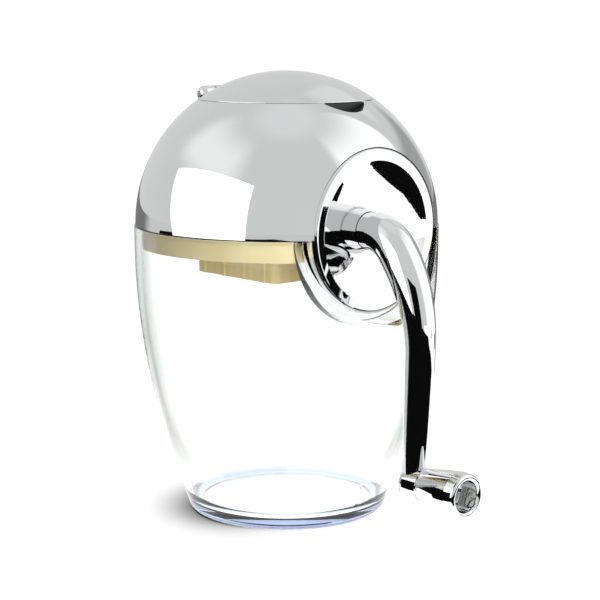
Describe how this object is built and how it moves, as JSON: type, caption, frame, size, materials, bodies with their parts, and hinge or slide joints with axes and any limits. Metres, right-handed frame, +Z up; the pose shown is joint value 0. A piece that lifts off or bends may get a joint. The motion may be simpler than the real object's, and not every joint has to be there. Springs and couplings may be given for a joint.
{
  "type": "hand crank ice crusher",
  "caption": "Free-standing crusher: clear barrel jar under a chromed dome with a hinged lid, a dished side plate and a swan-neck crank that turns toothed blades through fixed combs.",
  "frame": {"origin": "middle of the jar's foot, on the surface it stands on, on the axis of jar and dome", "axes": "+Z up, +X towards the crank, along its level shaft, +Y to the left of someone who faces the crank's way from behind the object"},
  "size_m": [0.2078, 0.157, 0.2285],
  "materials": {
    "jar_clear": "clear moulded acrylic, polished",
    "dome_chrome": "bright chrome plate on a moulded shell",
    "plate_chrome": "bright chrome plate",
    "crank_chrome": "bright chrome plate on a casting",
    "knob_chrome": "bright chrome plate",
    "ivory": "moulded ivory plastic, satin",
    "bearing_plastic": "moulded acetal",
    "steel": "turned stainless steel",
    "comb_steel": "cast stainless steel",
    "blade_steel": "stamped stainless steel"
  },
  "bodies": {
    "jar": {"jar": "jar_clear"},
    "head": {"dome_shell": "dome_chrome", "crusher_body": "ivory", "feed_funnel": "ivory", "fixed_comb_left": "comb_steel", "fixed_comb_right": "comb_steel", "comb_screws": "steel", "front_bushing": "bearing_plastic", "rear_bushing": "bearing_plastic", "crank_plate": "plate_chrome", "crank_plate_screws": "steel", "body_screws": "steel", "lid_hinge_pin": "steel"},
    "lid": {"lid": "dome_chrome"},
    "crank": {"rotor_shaft": "steel", "rotor_blades": "blade_steel", "blade_spacers": "steel", "end_spacers": "steel", "rear_washer": "steel", "shaft_clip": "steel", "thrust_washer": "steel", "crank_collar": "crank_chrome", "crank_arm": "crank_chrome", "crank_grub_screw": "steel", "knob_pin": "steel", "knob_washer": "crank_chrome"},
    "knob": {"knob": "knob_chrome"}
  },
  "joints": [
    {"name": "head_lift", "type": "slide", "parent": "jar", "child": "head", "axis": [0, 0, 1], "range_m": [0, 0.14]},
    {"name": "lid_hinge", "type": "hinge", "parent": "head", "child": "lid", "pos_m": [-0.0467, 0, 0.2155], "axis": [0, -1, 0], "range_deg": [0, 105]},
    {"name": "crank_turn", "type": "hinge", "parent": "head", "child": "crank", "pos_m": [0, 0, 0.152], "axis": [1, 0, 0], "continuous": true},
    {"name": "knob_turn", "type": "hinge", "parent": "crank", "child": "knob", "pos_m": [0.103, 0, 0.031], "axis": [1, 0, 0], "continuous": true}
  ]
}
